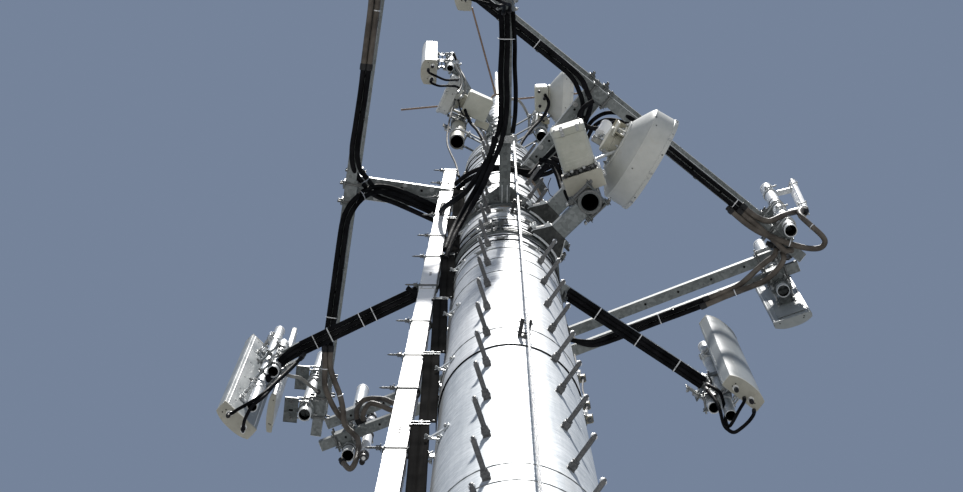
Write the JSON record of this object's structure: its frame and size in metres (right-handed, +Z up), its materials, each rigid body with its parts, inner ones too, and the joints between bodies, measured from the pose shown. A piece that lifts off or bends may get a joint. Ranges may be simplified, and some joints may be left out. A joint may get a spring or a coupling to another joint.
{
  "type": "cell tower",
  "caption": "Tapered steel monopole with a star mount and a triangular frame carrying panel antennas, shrouded microwave dishes, cable duct and step pegs.",
  "frame": {"origin": "middle of the underside of the base flange, on the ground line", "axes": "+Z up along the pole, -Y towards the viewer of the picture, +X to the viewer's right"},
  "size_m": [3.9576, 3.771, 33.31],
  "materials": {
    "galv_pole": "weathered galvanised",
    "galv_bright": "bright galvanised",
    "whip_white": "white fibreglass",
    "rust_brown": "brown, weathered",
    "peg_steel": "galvanised, dulled",
    "wire_rope": "galvanised strand",
    "duct_white": "pale grey, satin",
    "duct_dark": "dark, dull",
    "galv_dark": "dull galvanised, dark",
    "radome": "grey radome",
    "radome_white": "white radome",
    "radio_beige": "grey-beige, satin",
    "cable_black": "black jacket",
    "conduit_brown": "grey-brown jacket"
  },
  "bodies": {
    "root": {"base_flange": "galv_pole", "pole_lower": "galv_pole", "pole_upper": "galv_pole", "pole_extension": "galv_bright", "whip_antenna": "whip_white", "whip_radials": "rust_brown", "step_pegs_left": "peg_steel", "step_pegs_right": "peg_steel", "climb_cable": "wire_rope", "climb_brackets": "galv_bright", "duct_outer": "duct_white", "duct_covers": "duct_dark", "duct_brackets": "galv_bright", "duct_clamps": "galv_dark", "pole_straps": "galv_dark", "star_collar": "galv_dark", "star_arm_front": "galv_dark", "star_arm_right": "galv_dark", "star_arm_left": "galv_dark", "mast_pipes_star": "galv_bright", "panel_front": "radome", "panel_right": "radome", "panel_left": "radome", "panel_brackets": "galv_bright", "frame_collar": "galv_dark", "frame_arm_a": "galv_dark", "frame_arm_b": "galv_dark", "frame_arm_c": "galv_dark", "rail_a_low": "galv_dark", "rail_a_high": "galv_dark", "rail_b_low": "galv_dark", "rail_b_high": "galv_dark", "rail_c_low": "galv_dark", "rail_c_high": "galv_dark", "mast_pipes_frame": "galv_bright", "frame_clamps": "galv_dark", "frame_panels": "radome", "slim_antennas": "radome_white", "antenna_brackets": "galv_bright", "dish_large": "radome", "dish_large_mount": "galv_dark", "dish_large_radio": "radio_beige", "dish_small": "radome", "dish_small_mount": "radio_beige", "dish_rear": "radome", "dish_rear_mount": "radio_beige", "sector_small": "radome_white", "coax_star": "cable_black", "coax_jumpers": "cable_black", "coax_frame": "cable_black", "coax_trunk": "cable_black", "coax_top": "cable_black", "conduits": "conduit_brown", "ground_blocks": "rust_brown"}
  },
  "joints": []
}
